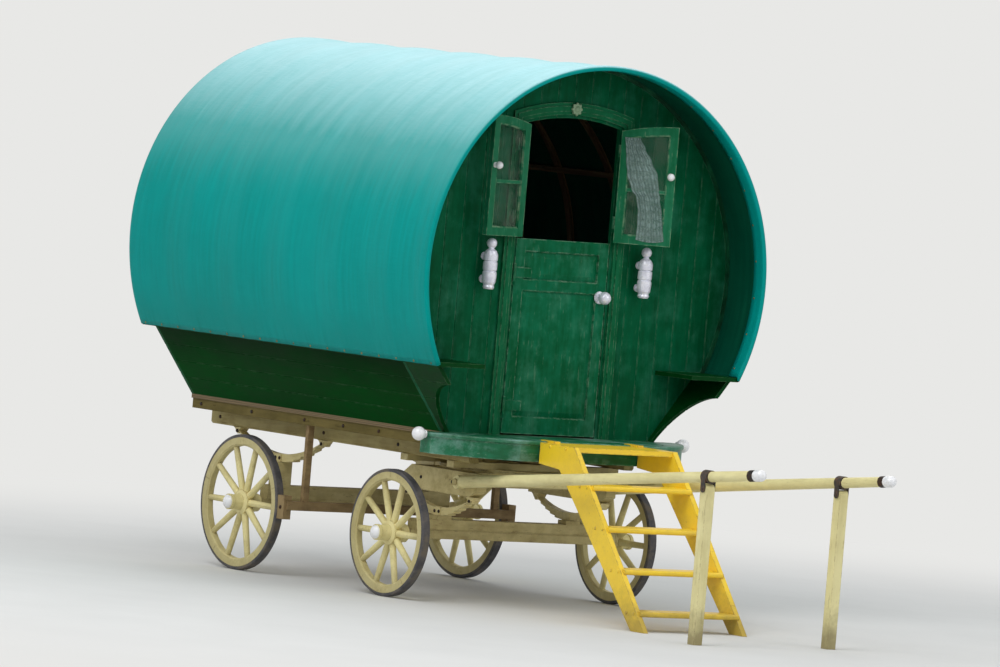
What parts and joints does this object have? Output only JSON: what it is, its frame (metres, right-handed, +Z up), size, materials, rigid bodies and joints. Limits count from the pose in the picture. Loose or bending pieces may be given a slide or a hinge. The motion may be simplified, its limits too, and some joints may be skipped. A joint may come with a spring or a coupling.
{
  "type": "bow-topped vardo wagon",
  "caption": "Horse-drawn living wagon with a round canvas roof on bows, half doors, porch, steps, turntable fore-carriage, shafts on props and spoked wheels.",
  "frame": {"origin": "on the ground, below the middle of the whole length and width", "axes": "+X forward towards the shafts, +Y to the wagon's left, +Z up"},
  "size_m": [4.625, 2.11, 2.727],
  "materials": {
    "canvas": "waterproofed canvas, teal green",
    "body_green": "gloss paint, worn",
    "ledge_green": "gloss paint, worn",
    "cream": "cream paint, weathered",
    "cream_iron": "cream paint over iron",
    "iron": "greased iron",
    "yellow": "bright yellow paint",
    "tyre": "solid rubber, dusty",
    "glass": "clear pane",
    "white": "white glazed knobs",
    "bright": "bright plated",
    "bare_wood": "oiled ash",
    "inner_wood": "varnished",
    "bedding": "ticking"
  },
  "bodies": {
    "wagon": {"door_casing": "ledge_green", "floor": "bare_wood", "side_right": "body_green", "side_left": "body_green", "ledge_right": "ledge_green", "ledge_left": "ledge_green", "front_wall": "body_green", "rear_wall": "body_green", "rear_window": "ledge_green", "rear_glass": "glass", "roof_bows": "bare_wood", "roof_canvas": "canvas", "footboard": "body_green", "footboard_knobs": "white", "grab_handles": "bright", "steps": "yellow", "chassis_rails": "cream", "floor_bearers": "bare_wood", "rear_axle": "cream", "rear_spring_right": "cream_iron", "rear_spring_left": "cream_iron", "brake": "cream", "turntable_upper": "cream_iron", "bed_box": "inner_wood", "bench_right": "inner_wood", "bench_left": "inner_wood", "mattress": "bedding"},
    "fore_carriage": {"turntable_lower": "cream_iron", "front_axle": "cream", "front_spring_right": "cream_iron", "front_spring_left": "cream_iron", "futchells": "cream"},
    "shafts": {"shaft_right": "cream", "shaft_left": "cream", "cross_bar": "cream", "shaft_tips": "white", "shaft_ferrules": "iron"},
    "prop_right": {"prop_right": "cream"},
    "prop_left": {"prop_left": "cream"},
    "lower_door": {"lower_door": "body_green", "door_latch": "bright"},
    "upper_door_right": {"upper_door_right": "ledge_green", "upper_glass_right": "glass", "upper_knob_right": "white"},
    "upper_door_left": {"upper_door_left": "ledge_green", "upper_glass_left": "glass", "upper_knob_left": "white"},
    "wheel_rear_right": {"wheel_rear_right": "cream", "tyre_rear_right": "tyre", "hub_cap_rear_right": "white"},
    "wheel_rear_left": {"wheel_rear_left": "cream", "tyre_rear_left": "tyre", "hub_cap_rear_left": "white"},
    "wheel_front_right": {"wheel_front_right": "cream", "tyre_front_right": "tyre", "hub_cap_front_right": "white"},
    "wheel_front_left": {"wheel_front_left": "cream", "tyre_front_left": "tyre", "hub_cap_front_left": "white"}
  },
  "joints": [
    {"name": "steering", "type": "hinge", "parent": "wagon", "child": "fore_carriage", "pos_m": [-0.2875, 0, 0.66], "axis": [0, 0, 1], "range_deg": [-4.5, 4.5]},
    {"name": "shafts_tilt", "type": "hinge", "parent": "fore_carriage", "child": "shafts", "pos_m": [-0.0575, 0, 0.6], "axis": [0, -1, 0], "range_deg": [0, 7.5]},
    {"name": "lower_door_swing", "type": "hinge", "parent": "wagon", "child": "lower_door", "pos_m": [0.0175, -0.2925, 1.34], "axis": [0, 0, -1], "range_deg": [0, 110]},
    {"name": "upper_right_swing", "type": "hinge", "parent": "wagon", "child": "upper_door_right", "pos_m": [0.0175, -0.2925, 2.1], "axis": [0, 0, -1], "range_deg": [-165, 8]},
    {"name": "upper_left_swing", "type": "hinge", "parent": "wagon", "child": "upper_door_left", "pos_m": [0.0175, 0.2925, 2.1], "axis": [0, 0, 1], "range_deg": [-145, 28]},
    {"name": "prop_right_fold", "type": "hinge", "parent": "shafts", "child": "prop_right", "pos_m": [1.8925, -0.40741, 0.74981], "axis": [0, -1, 0], "range_deg": [-83, 0]},
    {"name": "prop_left_fold", "type": "hinge", "parent": "shafts", "child": "prop_left", "pos_m": [1.8925, 0.40741, 0.74981], "axis": [0, -1, 0], "range_deg": [-83, 0]},
    {"name": "wheel_rear_right_spin", "type": "hinge", "parent": "wagon", "child": "wheel_rear_right", "pos_m": [-1.6025, -0.7025, 0.345], "axis": [0, 1, 0], "continuous": true},
    {"name": "wheel_rear_left_spin", "type": "hinge", "parent": "wagon", "child": "wheel_rear_left", "pos_m": [-1.6025, 0.7025, 0.345], "axis": [0, 1, 0], "continuous": true},
    {"name": "wheel_front_right_spin", "type": "hinge", "parent": "fore_carriage", "child": "wheel_front_right", "pos_m": [-0.2875, -0.7025, 0.318], "axis": [0, 1, 0], "continuous": true},
    {"name": "wheel_front_left_spin", "type": "hinge", "parent": "fore_carriage", "child": "wheel_front_left", "pos_m": [-0.2875, 0.7025, 0.318], "axis": [0, 1, 0], "continuous": true}
  ]
}
